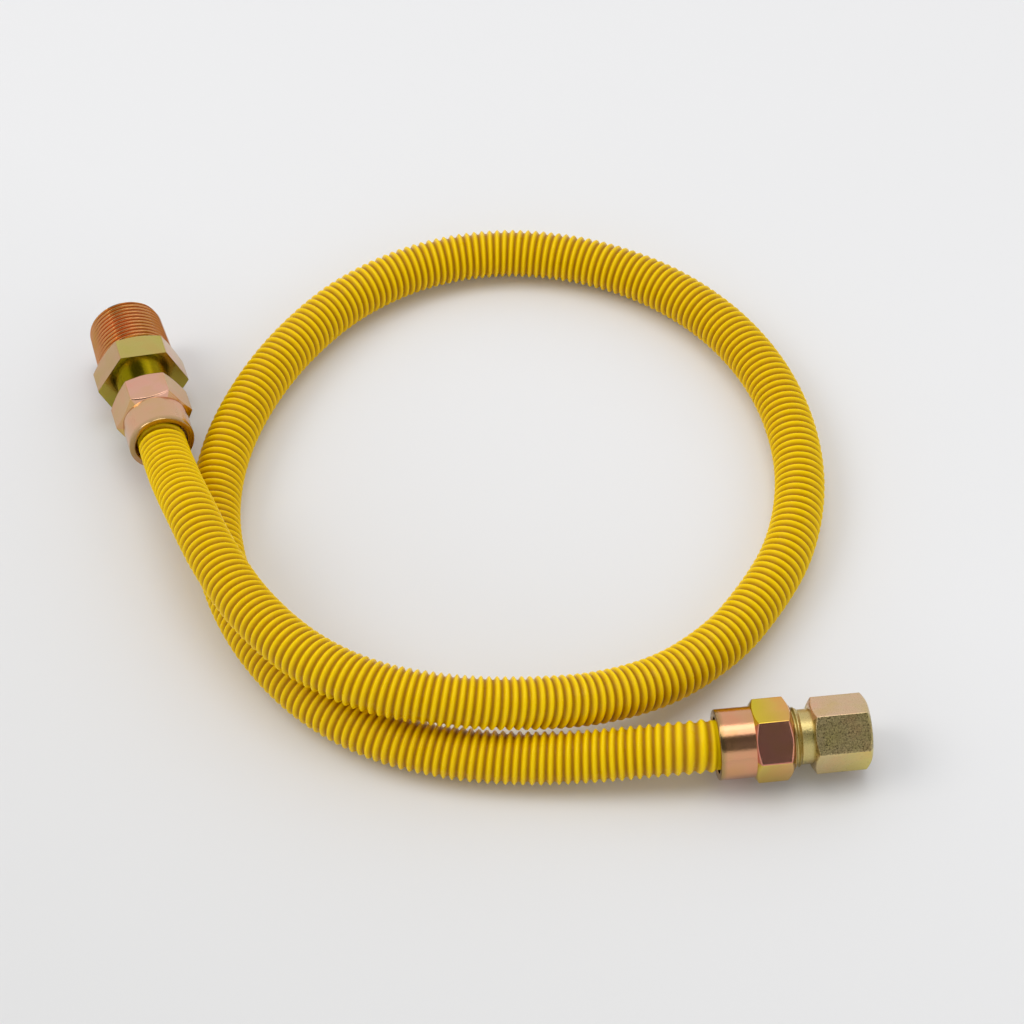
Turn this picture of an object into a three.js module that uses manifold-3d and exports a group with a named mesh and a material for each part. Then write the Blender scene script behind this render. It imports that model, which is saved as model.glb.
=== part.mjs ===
// Flexible gas hose: a corrugated steel tube in a yellow jacket, with a flare nut and a pipe
// adapter on each end. It lies on the ground in one and a half loose turns.
// Millimetres, +Z up. +X runs along the female fitting, out of its pipe socket.
import * as THREE from "three";
import { mergeVertices } from "three/addons/utils/BufferGeometryUtils.js";
import Module from "manifold-3d";

const wasm = await Module();
wasm.setup();

// Hose
const jacketDiameter = 17.0;
const jacketWall = 1.3;
const tubeBore = 9.5;
const tubeNeckDiameter = 12.7;
const tubeNeckWall = 0.8;
const hoseSides = 10;
const hoseSteps = 60;

// Clearances
const seatGap = 0.3;
const mouthClearance = 0.45;

// Flare nut, the same on both ends
const nutAcrossFlats = 23.0;
const skirtDiameter = 22.2;
const skirtLength = 11.2;
const nutHexLength = 12.3;
const nutShoulderDepth = 9.0;
const nutWebThickness = 2.0;
const nutFaceDiameter = 20.4;
const threadMouthChamfer = 0.6;

// Flare thread, 3/4 in with 16 turns to the inch, and the 45 degree flare
const flareThreadDiameter = 19.05;
const flareDiameter = 18.2;
const flareWall = 0.8;
const stemBore = 9.6;
const noseLip = 0.5;

// Female adapter
const femaleThreadShowing = 2.4;
const femaleNeckLength = 3.8;
const femaleNeckDiameter = 17.2;
const femaleAcrossFlats = 21.0;
const femaleHexLength = 18.0;
const socketDiameter = 15.9;
const socketDepth = 12.5;
const socketChamfer = 0.8;

// Male adapter
const maleNeckLength = 6.6;
const maleNeckDiameter = 17.6;
const maleAcrossFlats = 27.4;
const maleHexLength = 10.6;
const pipeThreadDiameter = 26.4;
const pipeThreadLength = 20.8;
const pipeThreadTaper = 1 / 16;
const pipeThreadPitch = 25.4 / 14;
const pipeThreadDepth = 1.1;
const pipeThreadLead = 0.9;
const pipeBore = 15.8;
const pipeBoreDepth = 24.0;

// Hexagons: chamfer angle, and the face circle as a share of the width across flats
const hexChamferAngle = THREE.MathUtils.degToRad(30);
const hexFaceShare = 0.95;
const edgeBreak = 0.4;
const roundSegments = 36;
const hexCorners = 6;

// Making the solids: how far a cut runs past a face, a join sinks in, and points that weld
const overrun = 1;
const sink = 1;
const weldDistance = 1e-5;

// How the fittings lie
const femaleMouth = new THREE.Vector3(70.1, -96.0, 13.1);
const femaleAzimuth = 0;
const femaleTilt = 0;
const femaleNutRoll = 11.7;
const femaleHexRoll = 8;
const maleMouth = new THREE.Vector3(-95.2, 46.0, 17.8);
const maleAzimuth = 100.2;
const maleTilt = -4.5;
const maleNutRoll = 28;
const maleHexRoll = 36;
const femaleLead = 7;
const maleLead = 6;

// Centre line of the free hose, from the female end round the loop to the male end
const freeRoute = [
  [48.5, -95.1, 12.0],
  [30.5, -93.4, 10.0],
  [11.5, -91.0, 8.8],
  [-9.0, -86.7, 8.6],
  [-32.0, -77.1, 8.6],
  [-52.7, -59.9, 8.6],
  [-68.2, -36.2, 8.6],
  [-77.2, -9.1, 8.6],
  [-79.5, 19.2, 8.6],
  [-74.5, 47.2, 8.6],
  [-63.1, 73.2, 8.6],
  [-46.7, 96.5, 8.6],
  [-25.8, 115.9, 8.6],
  [0.1, 128.6, 8.6],
  [28.3, 131.9, 8.6],
  [56.0, 125.4, 8.6],
  [80.8, 110.9, 8.6],
  [100.1, 89.8, 8.6],
  [112.6, 64.1, 8.6],
  [117.7, 36.1, 8.6],
  [115.7, 7.8, 8.6],
  [106.3, -19.1, 8.6],
  [89.6, -42.5, 8.6],
  [78.7, -53.5, 9.2],
  [59.7, -66.9, 11.8],
  [37.2, -75.9, 16.6],
  [13.4, -79.5, 21.8],
  [-11.2, -77.7, 24.6],
  [-34.9, -70.1, 25.8],
  [-54.1, -56.2, 26.2],
  [-69.8, -35.5, 26.2],
  [-80.2, -12.7, 25.9],
  [-87.0, 9.1, 24.9],
  [-91.2, 25.8, 21.2],
];

// Sizes that follow
const nutLength = skirtLength + nutHexLength;
const jacketEnd = nutShoulderDepth - seatGap;
const tubeDiameter = jacketDiameter - 2 * jacketWall - 2 * seatGap;
const nutWebBore = tubeNeckDiameter + 2 * seatGap;
const nutConeStart = nutShoulderDepth + nutWebThickness;
const nutThreadBore = flareThreadDiameter + 2 * seatGap;
const mouthBore = jacketDiameter + 2 * mouthClearance;
const slant = Math.SQRT2;
const flareOuterShift = nutConeStart + seatGap * slant;
const flareInnerShift = flareOuterShift + flareWall * slant;
const noseShift = flareInnerShift + seatGap * slant;

// Depth along the fitting of a 45 degree cone of the given radius, which starts at the web bore
function coneDepth(radius, shift) {
  return radius - nutWebBore / 2 + shift;
}

function asSolid(geometry) {
  const bare = geometry.clone();
  bare.deleteAttribute("normal");
  bare.deleteAttribute("uv");
  const merged = mergeVertices(bare, weldDistance);
  const vertProperties = Float32Array.from(merged.attributes.position.array);
  const triVerts = Uint32Array.from(merged.index.array);
  return new wasm.Manifold(new wasm.Mesh({ numProp: 3, vertProperties, triVerts }));
}

function asGeometry(solid) {
  const mesh = solid.getMesh();
  const geometry = new THREE.BufferGeometry();
  geometry.setAttribute("position", new THREE.BufferAttribute(mesh.vertProperties, 3));
  geometry.setIndex(new THREE.BufferAttribute(mesh.triVerts, 1));
  geometry.computeVertexNormals();
  return geometry;
}

// A turned piece about the fitting's axis, from [radius, depth] pairs in a closed run
function turned(profile) {
  const points = profile.map(([radius, depth]) => new THREE.Vector2(radius, depth));
  points.push(points[0].clone());
  const geometry = new THREE.LatheGeometry(points, roundSegments);
  geometry.rotateX(Math.PI / 2);
  return asSolid(outward(geometry));
}

// Turns the faces round where a closed geometry faces inwards
function outward(geometry) {
  const position = geometry.attributes.position;
  const index = geometry.index;
  const a = new THREE.Vector3();
  const b = new THREE.Vector3();
  const c = new THREE.Vector3();
  let volume = 0;
  for (let i = 0; i < index.count; i += 3) {
    a.fromBufferAttribute(position, index.getX(i));
    b.fromBufferAttribute(position, index.getX(i + 1));
    c.fromBufferAttribute(position, index.getX(i + 2));
    volume += a.dot(b.cross(c));
  }
  if (volume < 0) {
    for (let i = 0; i < index.count; i += 3) {
      const first = index.getX(i);
      index.setX(i, index.getX(i + 1));
      index.setX(i + 1, first);
    }
  }
  return geometry;
}

// A hexagonal bar between two depths, one flat's normal at the roll angle
function hexBar(acrossFlats, from, to, roll) {
  const corner = acrossFlats / 2 / Math.cos(Math.PI / hexCorners);
  const turn = THREE.MathUtils.degToRad(roll) + Math.PI / hexCorners;
  const outline = new THREE.Shape();
  for (let i = 0; i < hexCorners; i += 1) {
    const angle = turn + (i * 2 * Math.PI) / hexCorners;
    const x = corner * Math.cos(angle);
    const y = corner * Math.sin(angle);
    if (i === 0) {
      outline.moveTo(x, y);
    } else {
      outline.lineTo(x, y);
    }
  }
  outline.closePath();
  const geometry = new THREE.ExtrudeGeometry(outline, { depth: to - from, bevelEnabled: false });
  geometry.translate(0, 0, from);
  return asSolid(mergeVertices(geometry));
}

// The hexagon's chamfered form: a bar turned down to a face circle on the ends that have one
function chamferedHex(acrossFlats, from, to, roll, lowFace, highFace) {
  const clear = acrossFlats / 2 / Math.cos(Math.PI / hexCorners) + overrun;
  const rise = Math.tan(hexChamferAngle);
  const low = lowFace ?? clear;
  const high = highFace ?? clear;
  const limit = turned([
    [0, from],
    [low, from],
    [clear, from + (clear - low) * rise],
    [clear, to - (clear - high) * rise],
    [high, to],
    [0, to],
  ]);
  return hexBar(acrossFlats, from, to, roll).intersect(limit);
}

// Flare nut
function flareNut(roll) {
  const hex = chamferedHex(
    nutAcrossFlats, skirtLength, nutLength, roll, skirtDiameter / 2, nutFaceDiameter / 2);
  const skirt = turned([
    [0, 0],
    [skirtDiameter / 2 - edgeBreak, 0],
    [skirtDiameter / 2, edgeBreak],
    [skirtDiameter / 2, skirtLength + edgeBreak],
    [0, skirtLength + edgeBreak],
  ]);
  const bore = turned([
    [0, -overrun],
    [mouthBore / 2 + edgeBreak + overrun, -overrun],
    [mouthBore / 2, edgeBreak],
    [mouthBore / 2, nutShoulderDepth],
    [nutWebBore / 2, nutShoulderDepth],
    [nutWebBore / 2, nutConeStart],
    [nutThreadBore / 2, coneDepth(nutThreadBore / 2, nutConeStart)],
    [nutThreadBore / 2, nutLength - threadMouthChamfer],
    [nutThreadBore / 2 + threadMouthChamfer + overrun, nutLength + overrun],
    [0, nutLength + overrun],
  ]);
  return hex.add(skirt).subtract(bore);
}

// Nose, flare thread and neck of either adapter: the outside run from the bore to the hexagon
function stemProfile(threadEnd, neckDiameter, hexStart) {
  const lip = stemBore / 2 + noseLip;
  const thread = flareThreadDiameter / 2;
  const noseEdge = flareDiameter / 2;
  return [
    [stemBore / 2, coneDepth(lip, noseShift)],
    [lip, coneDepth(lip, noseShift)],
    [noseEdge, coneDepth(noseEdge, noseShift)],
    [thread, coneDepth(noseEdge, noseShift) + edgeBreak],
    [thread, threadEnd - edgeBreak],
    [neckDiameter / 2, threadEnd],
    [neckDiameter / 2, hexStart],
  ];
}

// Female adapter: flare stem, hexagon with a pipe socket in its end
function femaleAdapter(roll) {
  const threadEnd = nutLength + femaleThreadShowing;
  const hexStart = threadEnd + femaleNeckLength;
  const end = hexStart + femaleHexLength;
  const face = (femaleAcrossFlats / 2) * hexFaceShare;
  const hex = chamferedHex(femaleAcrossFlats, hexStart, end, roll, face, face);
  const stem = turned([
    ...stemProfile(threadEnd, femaleNeckDiameter, hexStart + edgeBreak),
    [stemBore / 2, hexStart + edgeBreak],
  ]);
  const passage = turned([
    [0, 0],
    [stemBore / 2, 0],
    [stemBore / 2, end - socketDepth],
    [socketDiameter / 2, end - socketDepth],
    [socketDiameter / 2, end - socketChamfer],
    [socketDiameter / 2 + socketChamfer + overrun, end + overrun],
    [0, end + overrun],
  ]);
  return hex.add(stem).subtract(passage);
}

// Crests and roots of the tapered pipe thread, from the hexagon to the open end
function pipeThreadProfile(from, to) {
  const profile = [];
  const turns = Math.floor((to - from - pipeThreadLead) / pipeThreadPitch);
  const radiusAt = (depth) => pipeThreadDiameter / 2 - ((depth - from) * pipeThreadTaper) / 2;
  for (let i = 0; i < turns; i += 1) {
    const root = from + (i + 1) * pipeThreadPitch;
    const crest = root - pipeThreadPitch / 2;
    profile.push([radiusAt(crest), crest]);
    profile.push([radiusAt(root) - pipeThreadDepth, root]);
  }
  profile.push([radiusAt(to) - pipeThreadDepth, to]);
  return profile;
}

// Male adapter: flare stem, large hexagon, tapered pipe thread with a wide bore
function maleAdapter(roll) {
  const hexStart = nutLength + maleNeckLength;
  const hexEnd = hexStart + maleHexLength;
  const end = hexEnd + pipeThreadLength;
  const face = (maleAcrossFlats / 2) * hexFaceShare;
  const hex = chamferedHex(maleAcrossFlats, hexStart, hexEnd, roll, null, face);
  const stem = turned([
    ...stemProfile(nutLength - edgeBreak, maleNeckDiameter, hexStart + edgeBreak),
    [stemBore / 2, hexStart + edgeBreak],
  ]);
  const thread = turned([
    [pipeBore / 2, hexEnd - edgeBreak],
    [pipeThreadDiameter / 2 - pipeThreadDepth, hexEnd - edgeBreak],
    ...pipeThreadProfile(hexEnd, end),
    [pipeBore / 2, end],
  ]);
  const passage = turned([
    [0, 0],
    [stemBore / 2, 0],
    [stemBore / 2, end - pipeBoreDepth],
    [pipeBore / 2, end - pipeBoreDepth],
    [pipeBore / 2, end + overrun],
    [0, end + overrun],
  ]);
  return hex.add(stem).add(thread).subtract(passage);
}

// Bare end of the steel tube: a neck through the nut's web and the 45 degree flare
function flaredEnd() {
  const neck = tubeNeckDiameter / 2;
  const inside = neck - tubeNeckWall;
  const edge = flareDiameter / 2;
  return turned([
    [inside, jacketEnd - sink],
    [neck, jacketEnd - sink],
    [neck, coneDepth(neck, flareOuterShift)],
    [edge, coneDepth(edge, flareOuterShift)],
    [edge, coneDepth(edge, flareInnerShift)],
    [inside, coneDepth(inside, flareInnerShift)],
  ]);
}

// Where a fitting lies: its depth axis points out of the hose, its second axis is uppermost
function fittingPlace(mouth, azimuth, tilt) {
  const around = THREE.MathUtils.degToRad(azimuth);
  const up = THREE.MathUtils.degToRad(tilt);
  const out = new THREE.Vector3(
    Math.cos(around) * Math.cos(up), Math.sin(around) * Math.cos(up), Math.sin(up));
  const side = new THREE.Vector3(0, 0, 1).cross(out).normalize();
  const top = out.clone().cross(side);
  const place = new THREE.Matrix4().makeBasis(side, top, out);
  place.setPosition(mouth);
  return { place, out, mouth };
}

const femaleEnd = fittingPlace(femaleMouth, femaleAzimuth, femaleTilt);
const maleEnd = fittingPlace(maleMouth, maleAzimuth, maleTilt);

function along(end, depth) {
  return end.mouth.clone().addScaledVector(end.out, depth);
}

const hoseRoute = new THREE.CatmullRomCurve3([
  along(femaleEnd, jacketEnd),
  along(femaleEnd, 0),
  along(femaleEnd, -femaleLead),
  ...freeRoute.map((point) => new THREE.Vector3(...point)),
  along(maleEnd, -maleLead),
  along(maleEnd, 0),
  along(maleEnd, jacketEnd),
]);

// A polygon of the hose's section
function sectionRing(target, diameter) {
  for (let i = 0; i < hoseSides; i += 1) {
    const angle = (i * 2 * Math.PI) / hoseSides;
    const x = (diameter / 2) * Math.cos(angle);
    const y = (diameter / 2) * Math.sin(angle);
    if (i === 0) {
      target.moveTo(x, y);
    } else {
      target.lineTo(x, y);
    }
  }
  target.closePath();
}

// A pipe along the hose's centre line
function hosePipe(outsideDiameter, insideDiameter) {
  const section = new THREE.Shape();
  sectionRing(section, outsideDiameter);
  const hole = new THREE.Path();
  sectionRing(hole, insideDiameter);
  section.holes.push(hole);
  const geometry = new THREE.ExtrudeGeometry(section, {
    steps: hoseSteps,
    bevelEnabled: false,
    extrudePath: hoseRoute,
  });
  return asSolid(mergeVertices(geometry));
}

function steelTube() {
  let tube = hosePipe(tubeDiameter, tubeBore);
  for (const end of [femaleEnd, maleEnd]) {
    tube = tube.add(flaredEnd().transform(end.place.toArray()));
  }
  return tube;
}

function jacket() {
  return hosePipe(jacketDiameter, jacketDiameter - 2 * jacketWall);
}

const steel = { color: 0xb9bbbd, roughness: 0.35, metalness: 0.9 };
const yellow = { color: 0xdcb414, roughness: 0.38, metalness: 0 };
const plated = { color: 0xc39a6a, roughness: 0.3, metalness: 0.85 };
const platedGreen = { color: 0xaaa35a, roughness: 0.4, metalness: 0.85 };

const hose = new THREE.Group();

function addPiece(name, solid, finish, end) {
  const mesh = new THREE.Mesh(asGeometry(solid), new THREE.MeshStandardMaterial(finish));
  mesh.name = name;
  if (end) {
    end.place.decompose(mesh.position, mesh.quaternion, mesh.scale);
  }
  hose.add(mesh);
}

addPiece("corrugated_tube", steelTube(), steel);
addPiece("yellow_jacket", jacket(), yellow);
addPiece("female_end_nut", flareNut(femaleNutRoll), plated, femaleEnd);
addPiece("female_pipe_adapter", femaleAdapter(femaleHexRoll), platedGreen, femaleEnd);
addPiece("male_end_nut", flareNut(maleNutRoll), plated, maleEnd);
addPiece("male_pipe_adapter", maleAdapter(maleHexRoll), platedGreen, maleEnd);

export default hose;
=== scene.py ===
# Flexible gas hose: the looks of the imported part. Metres, in the part's own frame.
import math

import bpy
import numpy as np
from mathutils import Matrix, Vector


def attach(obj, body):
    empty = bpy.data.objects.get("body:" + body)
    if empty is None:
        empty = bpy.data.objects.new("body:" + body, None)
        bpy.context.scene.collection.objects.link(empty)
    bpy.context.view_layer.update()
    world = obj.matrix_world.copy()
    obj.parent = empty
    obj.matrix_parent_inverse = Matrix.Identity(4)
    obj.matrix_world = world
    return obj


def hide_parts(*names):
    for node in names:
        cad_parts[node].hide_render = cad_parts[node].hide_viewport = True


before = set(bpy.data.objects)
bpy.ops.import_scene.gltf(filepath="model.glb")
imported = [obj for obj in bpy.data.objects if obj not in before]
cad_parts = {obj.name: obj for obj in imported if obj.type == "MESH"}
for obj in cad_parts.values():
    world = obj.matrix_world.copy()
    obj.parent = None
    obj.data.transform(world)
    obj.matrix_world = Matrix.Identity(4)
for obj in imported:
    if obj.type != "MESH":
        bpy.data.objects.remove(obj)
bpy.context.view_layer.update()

MM = 0.001
INCH = 25.4

# Camera: aim point, distance, direction and lens
AIM = np.array([19.7, 17.2, 0.0]) * MM
DISTANCE = 1018.6 * MM
ELEVATION = math.radians(49.5)
HEADING = math.radians(6.75)
LENS = 106.2
SENSOR = 36.0

# Hose
JACKET_DIAMETER = 17.0 * MM
JACKET_END = 8.7 * MM
LINER_RADIUS = 6.93 * MM
LINER_STEP = 6.0 * MM
RING_DEPTH = 1.22 * MM
LEAST_RADIUS = 7.28 * MM
HOSE_SIDES = 30
HOSE_SHARP_ANGLE = 75
SAMPLES_PER_SPAN = 40
LINE_SAMPLES = 4000

# Flare nut, in millimetres like the adapters
NUT_ACROSS = 23.0
SKIRT_RADIUS = 11.1
SKIRT_LENGTH = 11.2
NUT_LENGTH = 23.5
NUT_FACE = 10.2
MOUTH_BORE = 8.95
SHOULDER_DEPTH = 9.0
WEB_BORE = 6.65
WEB_END = 11.0
NUT_THREAD_BORE = 9.825
NUT_THREAD_CHAMFER = 0.6
RIM_TONE_END = 2.0
SEAM = 0.02

# Flare thread and nose
FLARE_RADIUS = 9.525
FLARE_PITCH = INCH / 16
FLARE_DEPTH = 0.75
STEM_BORE = 4.8
NOSE_LIP = 5.3
NOSE_EDGE = 9.1
SEAT_GAP = 0.3
FLARE_WALL = 0.8
CONE_SHIFT = WEB_END + (SEAT_GAP + FLARE_WALL + SEAT_GAP) * math.sqrt(2)
NECK_START = 0.15

# Female adapter
FEMALE_THREAD_END = 25.9
FEMALE_NECK = 8.6
FEMALE_HEX_START = 29.7
FEMALE_HEX_END = 47.7
FEMALE_ACROSS = 21.0
SOCKET_RADIUS = 7.95
SOCKET_DEPTH = 12.5
SOCKET_CHAMFER = 0.8
SOCKET_PITCH = INCH / 18
SOCKET_THREAD_DEPTH = 0.45
SOCKET_THREAD_END = 2.5
SOCKET_PLAIN_END = 2.3
SOCKET_STEP = 0.1

# Male adapter
MALE_NECK = 8.8
MALE_HEX_START = 30.1
MALE_HEX_END = 40.7
MALE_ACROSS = 27.4
PIPE_END = 61.5
PIPE_RADIUS = 13.2
PIPE_TAPER = 1 / 32
PIPE_PITCH = INCH / 14
PIPE_DEPTH = 1.1
PIPE_ROOT_START = 0.05
PIPE_THREAD_START = 0.2
PIPE_CHAMFER = 0.4
PIPE_BORE = 7.9
PIPE_BORE_CHAMFER = 0.3
PIPE_BORE_DEPTH = 24.0
UNDERSIDE_GAP = 0.1

# Hexagons, edges and threads
FACE_SHARE = 0.95
CHAMFER = math.tan(math.radians(30))
CHAMFER_ZONE = 1.9
CHAMFER_STEP = 0.12
CHAMFER_SHARPNESS = 150
CORNER_SHARPNESS = 80
FITTING_SHARP_ANGLE = 38
EDGE = 0.4
THREAD_ROWS = 14
THREAD_CREST = 0.14
THREAD_SLOPE = 0.72

# How the fittings lie: mouth of each nut, heading, tilt, and the turn of its hexagons
FEMALE_MOUTH = np.array([70.1, -96.0, 13.1])
MALE_MOUTH = np.array([-95.2, 46.0, 17.8])
MALE_HEADING = math.radians(100.2)
MALE_TILT = math.radians(-4.5)
FEMALE_NUT_ROLL = math.radians(11.7)
FEMALE_HEX_ROLL = math.radians(8)
MALE_NUT_ROLL = math.radians(28)
MALE_HEX_ROLL = math.radians(36)
FEMALE_LEAD = 7.0
MALE_LEAD = 6.0

# Centre line of the free hose, from the female end round the loop to the male end
FREE_ROUTE = [
    (48.5, -95.1, 12.0),
    (30.5, -93.4, 10.0),
    (11.5, -91.0, 8.8),
    (-9.0, -86.7, 8.6),
    (-32.0, -77.1, 8.6),
    (-52.7, -59.9, 8.6),
    (-68.2, -36.2, 8.6),
    (-77.2, -9.1, 8.6),
    (-79.5, 19.2, 8.6),
    (-74.5, 47.2, 8.6),
    (-63.1, 73.2, 8.6),
    (-46.7, 96.5, 8.6),
    (-25.8, 115.9, 8.6),
    (0.1, 128.6, 8.6),
    (28.3, 131.9, 8.6),
    (56.0, 125.4, 8.6),
    (80.8, 110.9, 8.6),
    (100.1, 89.8, 8.6),
    (112.6, 64.1, 8.6),
    (117.7, 36.1, 8.6),
    (115.7, 7.8, 8.6),
    (106.3, -19.1, 8.6),
    (89.6, -42.5, 8.6),
    (78.7, -53.5, 9.2),
    (59.7, -66.9, 11.8),
    (37.2, -75.9, 16.6),
    (13.4, -79.5, 21.8),
    (-11.2, -77.7, 24.6),
    (-34.9, -70.1, 25.8),
    (-54.1, -56.2, 26.2),
    (-69.8, -35.5, 26.2),
    (-80.2, -12.7, 25.9),
    (-87.0, 9.1, 24.9),
    (-91.2, 25.8, 21.2),
]


def unit(vector):
    return vector / np.linalg.norm(vector)


def place_of(mouth, heading, tilt):
    """The mouth and the side, top and outward directions of a fitting."""
    out = np.array([math.cos(heading) * math.cos(tilt), math.sin(heading) * math.cos(tilt), math.sin(tilt)])
    side = unit(np.cross((0, 0, 1), out))
    return {"mouth": mouth, "side": side, "top": np.cross(out, side), "out": out}


FEMALE = place_of(FEMALE_MOUTH, 0.0, 0.0)
MALE = place_of(MALE_MOUTH, MALE_HEADING, MALE_TILT)


def depth_point(place, depth):
    return place["mouth"] + place["out"] * depth


def make_camera():
    forward = np.array([
        math.sin(HEADING) * math.cos(ELEVATION),
        math.cos(HEADING) * math.cos(ELEVATION),
        -math.sin(ELEVATION),
    ])
    data = bpy.data.cameras.new("camera")
    data.lens = LENS
    data.sensor_width = SENSOR
    data.clip_start = 0.01
    data.clip_end = 50
    camera = bpy.data.objects.new("camera", data)
    bpy.context.scene.collection.objects.link(camera)
    camera.location = Vector(AIM - forward * DISTANCE)
    camera.rotation_euler = Vector(forward).to_track_quat("-Z", "Y").to_euler()
    bpy.context.scene.camera = camera


# The hose's centre line
def centripetal(points, samples_per_span):
    """Catmull-Rom curve through the points, spaced by the square root of their distances."""
    points = np.array(points, float)
    before = 2 * points[0] - points[1]
    after = 2 * points[-1] - points[-2]
    padded = np.vstack([before, points, after])
    curve = []
    for i in range(len(points) - 1):
        p0, p1, p2, p3 = padded[i : i + 4]
        d0 = np.linalg.norm(p1 - p0) ** 0.5
        d1 = np.linalg.norm(p2 - p1) ** 0.5
        d2 = np.linalg.norm(p3 - p2) ** 0.5
        t1 = ((p1 - p0) / d0 - (p2 - p0) / (d0 + d1) + (p2 - p1) / d1) * d1
        t2 = ((p2 - p1) / d1 - (p3 - p1) / (d1 + d2) + (p3 - p2) / d2) * d1
        for w in np.linspace(0, 1, samples_per_span, endpoint=False):
            bend = -3 * p1 + 3 * p2 - 2 * t1 - t2
            twist = 2 * p1 - 2 * p2 + t1 + t2
            curve.append(p1 + t1 * w + bend * w**2 + twist * w**3)
    curve.append(points[-1])
    return np.array(curve)


def hose_line():
    reach = JACKET_END / MM
    ends_in = [depth_point(FEMALE, depth) for depth in (reach, 0, -FEMALE_LEAD)]
    ends_out = [depth_point(MALE, depth) for depth in (-MALE_LEAD, 0, reach)]
    return centripetal([*ends_in, *FREE_ROUTE, *ends_out], SAMPLES_PER_SPAN) * MM


def carried_frames(line):
    """Two directions across the line, carried along it without twist."""
    tangents = np.gradient(line, axis=0)
    tangents /= np.linalg.norm(tangents, axis=1)[:, None]
    across = [unit(np.cross(tangents[0], (0, 0, 1)))]
    for tangent in tangents[1:]:
        last = across[-1]
        across.append(unit(last - tangent * np.dot(last, tangent)))
    across = np.array(across)
    return across, np.cross(tangents, across)


def step_lengths(line):
    return np.linalg.norm(np.diff(line, axis=0), axis=1)


def line_length(line):
    return float(step_lengths(line).sum())


def read_off(wanted, places, values):
    """Points or directions at the wanted places, between those that are given."""
    return np.stack([np.interp(wanted, places, values[:, k]) for k in range(3)], 1)


def resample(line, stations):
    return read_off(stations, np.r_[0, np.cumsum(step_lengths(line))], line)


# Shapes from rows of points
def grid_mesh(name, rows, sharp_angle):
    """A closed mesh from rows of points: each row is a ring, and the last row joins the first."""
    rows = np.asarray(rows)
    count, around = rows.shape[:2]
    index = np.arange(count * around).reshape(count, around)
    beside = np.roll(index, -1, axis=1)
    down = np.roll(index, -1, axis=0)
    quads = np.stack([index, beside, np.roll(down, -1, axis=1), down], -1).reshape(-1, 4)
    points = rows.reshape(-1, 3)
    corners = points[quads]
    volume = np.einsum("ij,ij->i", corners[:, 0], np.cross(corners[:, 1], corners[:, 2])).sum()
    volume += np.einsum("ij,ij->i", corners[:, 0], np.cross(corners[:, 2], corners[:, 3])).sum()
    if volume < 0:
        quads = quads[:, ::-1]
    mesh = bpy.data.meshes.new(name)
    mesh.from_pydata(points.tolist(), [], quads.tolist())
    mesh.validate()
    mesh.shade_smooth()
    mesh.set_sharp_from_angle(angle=math.radians(sharp_angle))
    piece = bpy.data.objects.new(name, mesh)
    bpy.context.scene.collection.objects.link(piece)
    return piece


# The yellow jacket, in millimetres along it: its corrugation is a single left-hand spiral.
# RING_SHAPE is the depth over one turn of the spiral, from 1 in a valley to 0 on a crest.
RING_SHAPE = [
    (0, 1),
    (0.1, 0.96),
    (0.2, 0.72),
    (0.32, 0.3),
    (0.5, 0),
    (0.68, 0.3),
    (0.8, 0.72),
    (0.9, 0.96),
    (1, 1),
]
ROWS_PER_RING = 9
FIRST_VALLEY = 10.35
LAST_VALLEY = 5.6
FADE = 1.3
PITCHES = [
    (10, 3.7),
    (20, 3.4),
    (28, 2.85),
    (45, 2.75),
    (110, 2.58),
    (200, 2.62),
    (260, 2.85),
    (400, 2.6),
    (520, 2.76),
    (665, 2.9),
    (740, 2.57),
    (880, 2.7),
]
DEPTH_SHARES = [(10, 0.85), (22, 0.9), (30, 1.0)]
TAPER_LENGTH = 26.0
TAPER_SHARE = 0.05
COLLAR_DEPTH = 0.62
# How much painted valley shade the plain collars in the nuts get
COLLAR_PAINTED_SHADE = 0.1
COUNT_STEP = 0.02


def listed(values, pairs):
    """A value for each distance, read off a list of (distance, value) pairs."""
    pairs = np.array(pairs)
    return np.interp(values, pairs[:, 0], pairs[:, 1])


def jacket_stations(total):
    """Distances along the jacket, and how many rings lie before each."""
    fine = np.arange(0, total, COUNT_STEP)
    rings = np.r_[0, np.cumsum(COUNT_STEP / listed(fine[:-1], PITCHES))]
    rings -= np.interp(FIRST_VALLEY, fine, rings)
    wanted = np.arange(rings[0], rings[-1], 1 / ROWS_PER_RING)
    stations = np.r_[np.interp(wanted, rings, fine), total]
    return stations, np.interp(stations, fine, rings)


def valley_shape(rings, turn):
    """How far into a valley each point lies, from 0 on a crest to 1."""
    return listed((rings[:, None] + turn[None] / (2 * math.pi)) % 1.0, RING_SHAPE)


def valley_depth(shape, stations, total):
    """The same, shallower near the female end and even on the collars in the nuts."""
    depth = listed(stations, DEPTH_SHARES)[:, None]
    start = np.clip((stations - FIRST_VALLEY) / FADE + 1.0, 0, 1)[:, None]
    end = np.clip((total - LAST_VALLEY - stations) / FADE, 0, 1)[:, None]
    return COLLAR_DEPTH + (shape * depth - COLLAR_DEPTH) * start * end


def jacket_radii(shape, stations, total, liner_rows):
    """Radius of every point: the corrugated outside, a little narrower at the male end, and the inside."""
    narrow = 1 - TAPER_SHARE * np.clip((stations - total + TAPER_LENGTH) / TAPER_LENGTH, 0, 1)
    outside = JACKET_DIAMETER / 2 * narrow[:, None] - RING_DEPTH * valley_depth(shape, stations, total)
    outside = np.maximum(outside, LEAST_RADIUS)
    return np.vstack([outside, np.full((liner_rows, HOSE_SIDES), LINER_RADIUS)])


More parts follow.
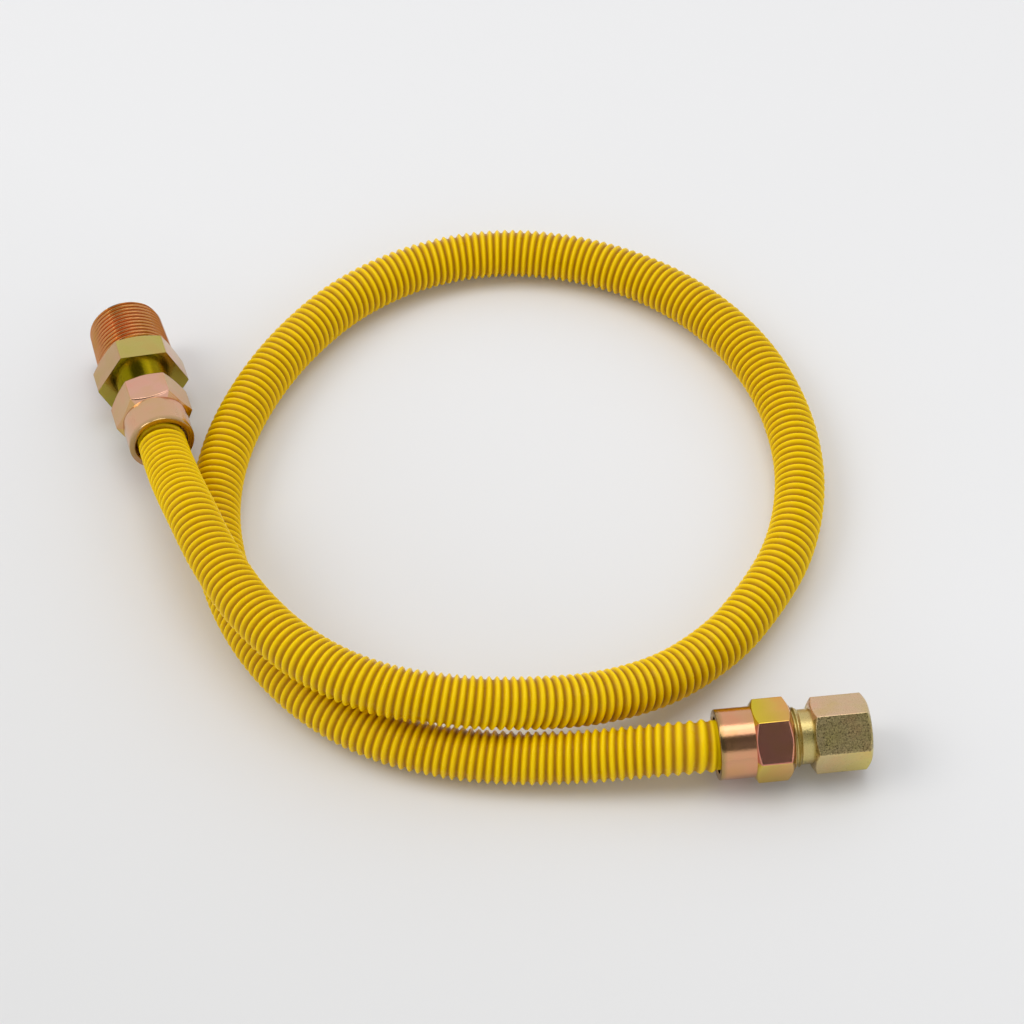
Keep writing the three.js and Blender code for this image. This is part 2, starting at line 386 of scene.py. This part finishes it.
def jacket_rows(line, where, turn, radius):
    """Rows of points round the line, at distances in metres along it."""
    total = line_length(line)
    along = np.linspace(0, total, LINE_SAMPLES)
    dense = resample(line, along)
    across, up = carried_frames(dense)
    side = read_off(where, along, across)
    rise = read_off(where, along, up)
    ring = np.cos(turn)[None, :, None] * side[:, None] + np.sin(turn)[None, :, None] * rise[:, None]
    return resample(dense, where)[:, None] + ring * radius[:, :, None]


def store_painted_valley_shade(jacket, shape, stations, total, liner_rows):
    """Gives the jacket's colour the depth in a valley of every point, for its painted valley shade: a
    little on the plain collars and all of it on the inside.
    """
    collars = (stations < FIRST_VALLEY - FADE) | (stations > total - LAST_VALLEY)
    shade = np.where(collars[:, None], COLLAR_PAINTED_SHADE, shape)
    shade = np.vstack([shade, np.ones((liner_rows, HOSE_SIDES))])
    attribute = jacket.data.attributes.new("valley", "FLOAT", "POINT")
    attribute.data.foreach_set("value", shade.astype(np.float32).ravel())


def make_jacket():
    line = hose_line()
    total = line_length(line)
    turn = np.linspace(0, 2 * math.pi, HOSE_SIDES, endpoint=False)
    stations, rings = jacket_stations(total / MM)
    shape = valley_shape(rings, turn)
    liner = np.linspace(total, 0, int(total / LINER_STEP))
    radius = jacket_radii(shape, stations, total / MM, len(liner))
    rows = jacket_rows(line, np.r_[stations * MM, liner], turn, radius)
    jacket = grid_mesh("jacket", rows, HOSE_SHARP_ANGLE)
    store_painted_valley_shade(jacket, shape, stations, total / MM, len(liner))
    jacket.data.materials.append(jacket_material())
    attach(jacket, "hose")
    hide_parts("yellow_jacket")


# Turned and hexagonal pieces of the fittings
FLAT_STEPS = [-30, -29.3, -28.3, -26.5, -23, -18, -12, -6, 0, 6, 12, 18, 23, 26.5, 28.3, 29.3]


def columns(roll):
    """Angles round a fitting, closer together at the hexagon's corners."""
    flats = [math.radians(60 * k + step) for k in range(6) for step in FLAT_STEPS]
    return np.array(flats) + roll


def soft_least(a, b):
    """The lesser of two radii, with the edge between them slightly rounded."""
    return (a**-CHAMFER_SHARPNESS + b**-CHAMFER_SHARPNESS) ** (-1 / CHAMFER_SHARPNESS)


def hex_radius(angles, roll, across):
    """Radius of a hexagon with slightly rounded corners."""
    total = np.zeros_like(angles)
    for k in range(6):
        total += np.maximum(np.cos(angles - roll - k * math.pi / 3), 1e-6) ** CORNER_SHARPNESS
    return across / 2 * total ** (-1 / CORNER_SHARPNESS)


class Turning:
    """Rows of a fitting: each is a radius for every column at a depth, in millimetres."""

    def __init__(self, roll):
        self.roll = roll
        self.angles = columns(roll)
        self.rows = []
        self.tones = []

    def ring(self, radius, depth, tone):
        self.rows.append((np.broadcast_to(radius, self.angles.shape), depth))
        self.tones.append(np.tile((*linear(tone), 0.0), (len(self.angles), 1)))

    def rings(self, pairs, tone):
        for radius, depth in pairs:
            self.ring(radius, depth, tone)

    def round_edge(self, radius, tone):
        """Three rings that break the edge between the face at depth 0 and a wall at the radius."""
        for swing in (0, math.pi / 4, math.pi / 2):
            self.ring(radius - EDGE * (1 - math.sin(swing)), EDGE * (1 - math.cos(swing)), tone)

    def flat_tones(self, tones):
        """Colours at the low and high end of each column's flat, and its share of coarse grain."""
        flat = np.round((self.angles - self.roll) / (math.pi / 3) - 1e-9).astype(int) % 6
        low = np.array([linear(pair[0]) for pair in tones["flats"]])[flat]
        high = np.array([linear(pair[1]) for pair in tones["flats"]])[flat]
        return low, high, (flat == tones.get("coarse")).astype(float)

    def hexagon(self, start, end, across, low_face, high_face, tones):
        """A hexagon whose corners are turned down to a face circle at the ends that have one."""
        length = end - start
        low_end = np.arange(0, CHAMFER_ZONE, CHAMFER_STEP)
        middle = np.linspace(CHAMFER_ZONE, length - CHAMFER_ZONE, 5)
        high_end = np.arange(length - CHAMFER_ZONE + CHAMFER_STEP, length + 1e-6, CHAMFER_STEP)
        depths = start + np.r_[low_end, middle, high_end]
        low, high, coarse = self.flat_tones(tones)
        hex_radii = hex_radius(self.angles, self.roll, across)
        for depth in np.unique(np.r_[depths, end]):
            radius = hex_radii
            if low_face:
                radius = soft_least(radius, low_face + (depth - start) / CHAMFER)
            if high_face:
                radius = soft_least(radius, high_face + (end - depth) / CHAMFER)
            share = (depth - start) / length
            self.rows.append((radius, depth))
            self.tones.append(np.c_[low + (high - low) * share, coarse])

    def ridge(self, turns):
        """From 1 where each turn of a thread begins to 0 half-way round it, for every column."""
        phase = turns - self.angles / (2 * math.pi)
        return np.abs(2 * (phase - np.floor(phase)) - 1)

    def thread(self, start, end, radius, taper, pitch, deep, tone):
        """A right-hand thread that fades in and out over half a turn at its ends."""
        count = int(round((end - start) / pitch * THREAD_ROWS))
        for depth in np.linspace(start, end, count + 1):
            ridge = self.ridge((depth - start) / pitch)
            cut = np.clip((ridge - THREAD_CREST) / THREAD_SLOPE, 0, 1)
            cut = cut * cut * (3 - 2 * cut)
            fade = np.clip(min(depth - start, end - depth) / (pitch / 2), 0, 1)
            outer = radius - (depth - start) * taper
            self.ring(outer - deep * np.maximum(cut * fade, 1 - fade), depth, tone)

    def build(self, name, place, material):
        radius = np.array([row[0] for row in self.rows])
        depth = np.array([row[1] for row in self.rows])
        side = place["side"][None, None] * (radius * np.cos(self.angles))[..., None]
        top = place["top"][None, None] * (radius * np.sin(self.angles))[..., None]
        out = place["out"][None, None] * depth[:, None, None]
        points = (place["mouth"] + side + top + out) * MM
        piece = grid_mesh(name, points, FITTING_SHARP_ANGLE)
        attribute = piece.data.attributes.new("tint", "FLOAT_COLOR", "POINT")
        attribute.data.foreach_set("color", np.array(self.tones, np.float32).ravel())
        piece.data.materials.append(material)
        return piece


def cone_depth(radius):
    return radius - WEB_BORE + CONE_SHIFT


def flare_nut(name, place, roll, tones, material):
    nut = Turning(roll)
    nut.rings([(MOUTH_BORE, EDGE), (MOUTH_BORE + EDGE, 0)], tones["rim"])
    nut.round_edge(SKIRT_RADIUS, tones["rim"])
    skirt = (RIM_TONE_END, SKIRT_LENGTH - 1.0, SKIRT_LENGTH)
    nut.rings([(SKIRT_RADIUS, depth) for depth in skirt], tones["skirt"])
    nut.hexagon(SKIRT_LENGTH + SEAM, NUT_LENGTH, NUT_ACROSS, SKIRT_RADIUS, NUT_FACE, tones)
    thread_mouth = [
        (NUT_THREAD_BORE + NUT_THREAD_CHAMFER, NUT_LENGTH),
        (NUT_THREAD_BORE, NUT_LENGTH - NUT_THREAD_CHAMFER),
    ]
    nut.rings(thread_mouth, tones["end"])
    web = [
        (NUT_THREAD_BORE, WEB_END + NUT_THREAD_BORE - WEB_BORE),
        (WEB_BORE, WEB_END),
        (WEB_BORE, SHOULDER_DEPTH),
        (MOUTH_BORE, SHOULDER_DEPTH),
    ]
    nut.rings(web, tones["rim"])
    return nut.build(name, place, material)


def add_stem(piece, neck, thread_end, hex_start, tone):
    """Nose, flare thread and neck of an adapter, up to its hexagon."""
    lip = cone_depth(NOSE_LIP)
    nose = cone_depth(NOSE_EDGE)
    piece.rings([(STEM_BORE, lip), (NOSE_LIP, lip), (NOSE_EDGE, nose)], tone)
    piece.thread(nose + EDGE, thread_end, FLARE_RADIUS, 0, FLARE_PITCH, FLARE_DEPTH, tone)
    middle = (thread_end + hex_start) / 2
    piece.rings([(neck, thread_end + NECK_START), (neck, middle), (neck, hex_start)], tone)


def add_socket(piece, tone):
    """The threaded pipe socket, from its mouth down to the bore behind it."""
    mouth = FEMALE_HEX_END - SOCKET_CHAMFER
    floor = FEMALE_HEX_END - SOCKET_DEPTH
    piece.rings([(SOCKET_RADIUS + SOCKET_CHAMFER, FEMALE_HEX_END), (SOCKET_RADIUS, mouth)], tone)
    for depth in np.arange(mouth - SOCKET_STEP, floor + SOCKET_THREAD_END, -SOCKET_STEP):
        ridge = piece.ridge(depth / SOCKET_PITCH)
        piece.ring(SOCKET_RADIUS + SOCKET_THREAD_DEPTH * ridge * ridge, depth, tone)
    end = [(SOCKET_RADIUS, floor + SOCKET_PLAIN_END), (SOCKET_RADIUS, floor), (STEM_BORE, floor)]
    piece.rings(end, tone)


def add_pipe_thread(piece, tone):
    """The tapered outside thread and the end face of the male adapter."""
    root = PIPE_RADIUS - PIPE_DEPTH
    start = MALE_HEX_END + PIPE_THREAD_START
    end = PIPE_END - PIPE_CHAMFER
    tip = root - (PIPE_END - MALE_HEX_END) * PIPE_TAPER
    piece.ring(root, MALE_HEX_END + PIPE_ROOT_START, tone)
    piece.thread(start, end, PIPE_RADIUS, PIPE_TAPER, PIPE_PITCH, PIPE_DEPTH, tone)
    piece.rings([(tip - PIPE_CHAMFER, PIPE_END), (PIPE_BORE + PIPE_BORE_CHAMFER, PIPE_END)], tone)


def female_adapter(name, place, roll, tones, material):
    piece = Turning(roll)
    face = FEMALE_ACROSS / 2 * FACE_SHARE
    add_stem(piece, FEMALE_NECK, FEMALE_THREAD_END, FEMALE_HEX_START, tones["neck"])
    piece.hexagon(FEMALE_HEX_START, FEMALE_HEX_END, FEMALE_ACROSS, face, face, tones)
    add_socket(piece, tones["end"])
    return piece.build(name, place, material)


def male_adapter(name, place, roll, tones, material, thread_material):
    piece = Turning(roll)
    face = MALE_ACROSS / 2 * FACE_SHARE
    corners = hex_radius(piece.angles, piece.roll, MALE_ACROSS)
    underside = [(MALE_NECK + UNDERSIDE_GAP, MALE_HEX_START), (corners, MALE_HEX_START)]
    bore_end = PIPE_END - PIPE_BORE_DEPTH
    bore = [(PIPE_BORE, PIPE_END - PIPE_BORE_CHAMFER), (PIPE_BORE, bore_end), (STEM_BORE, bore_end)]
    add_stem(piece, MALE_NECK, NUT_LENGTH, MALE_HEX_START, tones["neck"])
    piece.rings(underside, tones["under"])
    piece.hexagon(MALE_HEX_START + SEAM, MALE_HEX_END, MALE_ACROSS, None, face, tones)
    first_thread_row = len(piece.rows)
    add_pipe_thread(piece, tones["thread"])
    last_thread_row = len(piece.rows)
    piece.rings(bore, tones["end"])
    made = piece.build(name, place, material)
    made.data.materials.append(thread_material)
    around = len(piece.angles)
    slots = np.zeros(len(made.data.polygons), np.int32)
    slots[first_thread_row * around : last_thread_row * around] = 1
    made.data.polygons.foreach_set("material_index", slots)
    return made


# Materials
class Shader:
    """A material's nodes, with short ways to add and join them."""

    def __init__(self, name):
        self.material = bpy.data.materials.new(name)
        self.material.use_nodes = True
        self.nodes = self.material.node_tree.nodes
        self.links = self.material.node_tree.links
        self.surface = self.nodes["Principled BSDF"]

    def add(self, kind, **settings):
        node = self.nodes.new(kind)
        for key, value in settings.items():
            setattr(node, key, value)
        return node

    def join(self, output, socket):
        self.links.new(output, socket)

    def noise(self, scale, detail=3.0, roughness=0.55):
        coordinates = self.add("ShaderNodeTexCoord")
        node = self.add("ShaderNodeTexNoise")
        node.inputs["Scale"].default_value = scale
        node.inputs["Detail"].default_value = detail
        node.inputs["Roughness"].default_value = roughness
        self.join(coordinates.outputs["Object"], node.inputs["Vector"])
        return node.outputs["Fac"]

    def attribute(self, name):
        return self.add("ShaderNodeAttribute", attribute_name=name).outputs["Fac"]

    def math(self, operation, a, b, clamp=False):
        node = self.add("ShaderNodeMath", operation=operation, use_clamp=clamp)
        for value, socket in ((a, node.inputs[0]), (b, node.inputs[1])):
            if isinstance(value, (int, float)):
                socket.default_value = value
            else:
                self.join(value, socket)
        return node.outputs[0]

    def ramp(self, fac, stops):
        node = self.add("ShaderNodeValToRGB")
        while len(node.color_ramp.elements) < len(stops):
            node.color_ramp.elements.new(0.5)
        for element, (position, colour) in zip(node.color_ramp.elements, stops):
            element.position = position
            element.color = (*linear(colour), 1)
        self.join(fac, node.inputs["Fac"])
        return node.outputs["Color"]

    def mix(self, fac, a, b, blend="MIX"):
        node = self.add("ShaderNodeMix", data_type="RGBA", blend_type=blend)
        if isinstance(fac, (int, float)):
            node.inputs["Factor"].default_value = fac
        else:
            self.join(fac, node.inputs["Factor"])
        for value, socket in ((a, node.inputs[6]), (b, node.inputs[7])):
            if isinstance(value, tuple):
                socket.default_value = (*linear(value), 1)
            else:
                self.join(value, socket)
        return node.outputs[2]

    def bump(self, height, strength, distance):
        node = self.add("ShaderNodeBump")
        node.inputs["Strength"].default_value = strength
        node.inputs["Distance"].default_value = distance
        self.join(height, node.inputs["Height"])
        self.join(node.outputs["Normal"], self.surface.inputs["Normal"])


def linear(colour):
    """Screen colour from 0 to 255 to the linear values that shaders take."""
    share = [value / 255 for value in colour]
    return tuple(v / 12.92 if v <= 0.04045 else ((v + 0.055) / 1.055) ** 2.4 for v in share)


# Painted shade: the jacket darkens towards this colour down in its valleys, where shade falls.
VALLEY_PAINTED_SHADE_COLOUR = (160, 104, 0)
VALLEY_SHADE_POWER = 1.5
VALLEY_SHADE_SHARE = 0.92
ROUGHNESS_GAIN = 3.0


def jacket_material():
    """Yellow plastic, with painted shade that makes it browner and darker down in the valleys."""
    shader = Shader("yellow_jacket")
    tint = shader.ramp(shader.noise(scale=14.0), [(0.35, (250, 209, 0)), (0.65, (254, 215, 2))])
    # painted shade: the deeper a point lies in a valley, the more of the dark valley colour it gets
    deep = shader.math("POWER", shader.attribute("valley"), VALLEY_SHADE_POWER)
    colour = shader.mix(shader.math("MULTIPLY", deep, VALLEY_SHADE_SHARE), tint, VALLEY_PAINTED_SHADE_COLOUR)
    shader.join(colour, shader.surface.inputs["Base Color"])
    rough = shader.ramp(shader.noise(scale=220.0), [(0.3, (80, 80, 80)), (0.7, (110, 110, 110))])
    shader.join(shader.math("MULTIPLY", rough, ROUGHNESS_GAIN), shader.surface.inputs["Roughness"])
    shader.surface.inputs["Specular IOR Level"].default_value = 0.12
    shader.surface.inputs["Subsurface Weight"].default_value = 0.08
    shader.surface.inputs["Subsurface Radius"].default_value = (1.0, 0.6, 0.1)
    shader.surface.inputs["Subsurface Scale"].default_value = 0.0015
    shader.bump(shader.noise(scale=700.0), strength=0.1, distance=0.0002)
    return shader.material


DRIFT = [(0.3, (236, 242, 206)), (0.5, (244, 244, 244)), (0.7, (252, 232, 236))]
DRIFT_SHARE = 0.7
FLECKS = [(0.32, (120, 116, 98)), (0.5, (206, 204, 192)), (0.66, (255, 255, 250))]
FLECKS_IF_COARSE = 0.8
FLECKS_EVERYWHERE = 0.02


def plated_material(name, grain, rough_low, rough_high):
    """Yellow zinc plating: each region's own colour, drifting a little, and flecks on the coarse flats."""
    shader = Shader(name)
    own = shader.add("ShaderNodeAttribute", attribute_name="tint")
    drift = shader.ramp(shader.noise(scale=110.0, detail=2.0), DRIFT)
    colour = shader.mix(DRIFT_SHARE, own.outputs["Color"], drift, "MULTIPLY")
    speck = shader.noise(scale=2000.0, roughness=0.6)
    coarse = shader.math("MULTIPLY", own.outputs["Alpha"], FLECKS_IF_COARSE)
    share = shader.math("ADD", coarse, FLECKS_EVERYWHERE)
    colour = shader.mix(share, colour, shader.ramp(speck, FLECKS), "MULTIPLY")
    shader.join(colour, shader.surface.inputs["Base Color"])
    shader.surface.inputs["Metallic"].default_value = 1.0
    rough = shader.add("ShaderNodeMapRange")
    rough.inputs["To Min"].default_value = rough_low
    rough.inputs["To Max"].default_value = rough_high
    shader.join(speck, rough.inputs["Value"])
    shader.join(rough.outputs["Result"], shader.surface.inputs["Roughness"])
    shader.bump(speck, strength=grain, distance=0.0003)
    return shader.material


def steel_material():
    shader = Shader("bare_steel")
    colour = shader.ramp(shader.noise(scale=300.0), [(0.3, (178, 178, 176)), (0.7, (204, 204, 202))])
    shader.join(colour, shader.surface.inputs["Base Color"])
    shader.surface.inputs["Metallic"].default_value = 1.0
    shader.surface.inputs["Roughness"].default_value = 0.3
    return shader.material


# Plating colours of the fittings: flats run from the first colour at the low end to the second
GOLD_FLAT = ((206, 180, 104), (202, 166, 116))
FEMALE_NUT_TONES = {
    "rim": (176, 146, 96),
    "skirt": (220, 164, 124),
    "flats": [
        GOLD_FLAT,
        ((222, 196, 50), (228, 172, 104)),
        ((212, 146, 124), (206, 142, 118)),
        ((226, 206, 84), (232, 186, 112)),
        GOLD_FLAT,
        GOLD_FLAT,
    ],
    "end": (170, 144, 90),
}
FEMALE_TONES = {
    "neck": (206, 188, 124),
    "flats": [
        GOLD_FLAT,
        ((226, 188, 156), (216, 188, 148)),
        ((210, 190, 144), (204, 186, 132)),
        ((226, 202, 152), (222, 204, 114)),
        GOLD_FLAT,
        GOLD_FLAT,
    ],
    "coarse": 2,
    "end": (190, 168, 120),
}
MALE_NUT_TONES = {
    "rim": (188, 156, 112),
    "skirt": (220, 176, 138),
    "flats": [
        ((212, 168, 120), (208, 164, 116)),
        ((230, 178, 154), (228, 174, 150)),
        ((210, 170, 122), (208, 166, 120)),
        GOLD_FLAT,
        GOLD_FLAT,
        GOLD_FLAT,
    ],
    "end": (210, 200, 150),
}
MALE_TONES = {
    "neck": (206, 190, 66),
    "under": (186, 176, 78),
    "flats": [
        ((200, 162, 118), (202, 166, 122)),
        ((198, 180, 102), (200, 184, 106)),
        ((206, 164, 126), (210, 172, 132)),
        GOLD_FLAT,
        GOLD_FLAT,
        GOLD_FLAT,
    ],
    "thread": (206, 144, 88),
    "end": (190, 150, 110),
}


def hand_over(piece, body, node):
    """Lets a fitting ride its body and stand in for its CAD node."""
    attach(piece, body)
    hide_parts(node)


def make_fittings():
    smooth = plated_material("plated_smooth", grain=0.08, rough_low=0.12, rough_high=0.22)
    coarse = plated_material("plated_coarse", grain=0.3, rough_low=0.22, rough_high=0.36)
    thread = plated_material("plated_thread", grain=0.08, rough_low=0.16, rough_high=0.26)
    piece = flare_nut("female_nut_shell", FEMALE, FEMALE_NUT_ROLL, FEMALE_NUT_TONES, smooth)
    hand_over(piece, "female_nut", "female_end_nut")
    piece = female_adapter("female_adapter_shell", FEMALE, FEMALE_HEX_ROLL, FEMALE_TONES, coarse)
    hand_over(piece, "female_adapter", "female_pipe_adapter")
    piece = flare_nut("male_nut_shell", MALE, MALE_NUT_ROLL, MALE_NUT_TONES, smooth)
    hand_over(piece, "male_nut", "male_end_nut")
    piece = male_adapter("male_adapter_shell", MALE, MALE_HEX_ROLL, MALE_TONES, smooth, thread)
    hand_over(piece, "male_adapter", "male_pipe_adapter")


def dress_tube():
    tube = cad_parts["corrugated_tube"]
    tube.data.materials.clear()
    tube.data.materials.append(steel_material())


# Floor and light
FLOOR_REACH = 6.0
FLOOR_DROP = 0.0001
# Painted shade on the floor: how its colour darkens towards the front left
FLOOR_SHADE_SLOPE = 1.2
FLOOR_SHADE_MIDDLE = 0.5
WHITE = (1.0, 1.0, 1.0)
WARM_WHITE = (1.0, 0.98, 0.96)
ROOM_COLOUR = (0.99, 0.995, 1.0, 1)
ROOM_LIGHT = 0.86
DARK_PATCH = (0.0, -0.454, 0.891)
PATCH_START = 0.76
PATCH_FULL = 0.87
PATCH_LIGHT = 0.11


def floor_material():
    """Pale and dull, with painted shade that makes it a little darker towards the front left."""
    shader = Shader("floor")
    place = shader.add("ShaderNodeSeparateXYZ")
    shader.join(shader.add("ShaderNodeTexCoord").outputs["Object"], place.inputs[0])
    # painted shade: the floor's colour darkens towards the front left
    back = shader.math("MULTIPLY", place.outputs["Y"], FLOOR_SHADE_SLOPE)
    away = shader.math("ADD", place.outputs["X"], back)
    share = shader.math("ADD", away, FLOOR_SHADE_MIDDLE, clamp=True)
    colour = shader.ramp(share, [(0.1, (224, 224, 224)), (0.62, (237, 237, 238))])
    shader.join(colour, shader.surface.inputs["Base Color"])
    shader.surface.inputs["Roughness"].default_value = 0.7
    shader.surface.inputs["Specular IOR Level"].default_value = 0.2
    return shader.material


def make_floor():
    mesh = bpy.data.meshes.new("floor")
    signs = [(-1, -1), (1, -1), (1, 1), (-1, 1)]
    corners = [(x * FLOOR_REACH, y * FLOOR_REACH, -FLOOR_DROP) for x, y in signs]
    mesh.from_pydata(corners, [], [(0, 1, 2, 3)])
    floor = bpy.data.objects.new("floor", mesh)
    bpy.context.scene.collection.objects.link(floor)
    mesh.materials.append(floor_material())


def area_light(name, place, size, power, colour):
    """A round lamp that shines on the part's origin."""
    data = bpy.data.lights.new(name, "AREA")
    data.shape = "DISK"
    data.size = size
    data.energy = power
    data.color = colour
    light = bpy.data.objects.new(name, data)
    bpy.context.scene.collection.objects.link(light)
    light.location = place
    light.rotation_euler = (-Vector(place)).to_track_quat("-Z", "Y").to_euler()


def make_lights():
    area_light("key", place=(-3.0, 0.2, 3.2), size=2.4, power=38, colour=WARM_WHITE)
    area_light("ceiling", place=(0.1, 0.3, 3.0), size=2.2, power=22, colour=WHITE)
    area_light("fill", place=(1.6, -2.2, 2.2), size=1.6, power=6, colour=WHITE)


def make_world():
    """A pale room with one soft dark patch, overhead and a little to the front."""
    world = bpy.data.worlds.new("room")
    bpy.context.scene.world = world
    world.use_nodes = True
    nodes = world.node_tree.nodes
    links = world.node_tree.links
    coordinates = nodes.new("ShaderNodeTexCoord")
    nearness = nodes.new("ShaderNodeVectorMath")
    nearness.operation = "DOT_PRODUCT"
    nearness.inputs[1].default_value = DARK_PATCH
    light = nodes.new("ShaderNodeMapRange")
    light.interpolation_type = "SMOOTHSTEP"
    light.inputs["From Min"].default_value = PATCH_START
    light.inputs["From Max"].default_value = PATCH_FULL
    light.inputs["To Min"].default_value = ROOM_LIGHT
    light.inputs["To Max"].default_value = PATCH_LIGHT
    links.new(coordinates.outputs["Generated"], nearness.inputs[0])
    links.new(nearness.outputs["Value"], light.inputs["Value"])
    links.new(light.outputs["Result"], nodes["Background"].inputs["Strength"])
    nodes["Background"].inputs["Color"].default_value = ROOM_COLOUR


make_camera()
make_jacket()
make_fittings()
dress_tube()
make_floor()
make_lights()
make_world()
bpy.context.scene.view_settings.view_transform = "Standard"
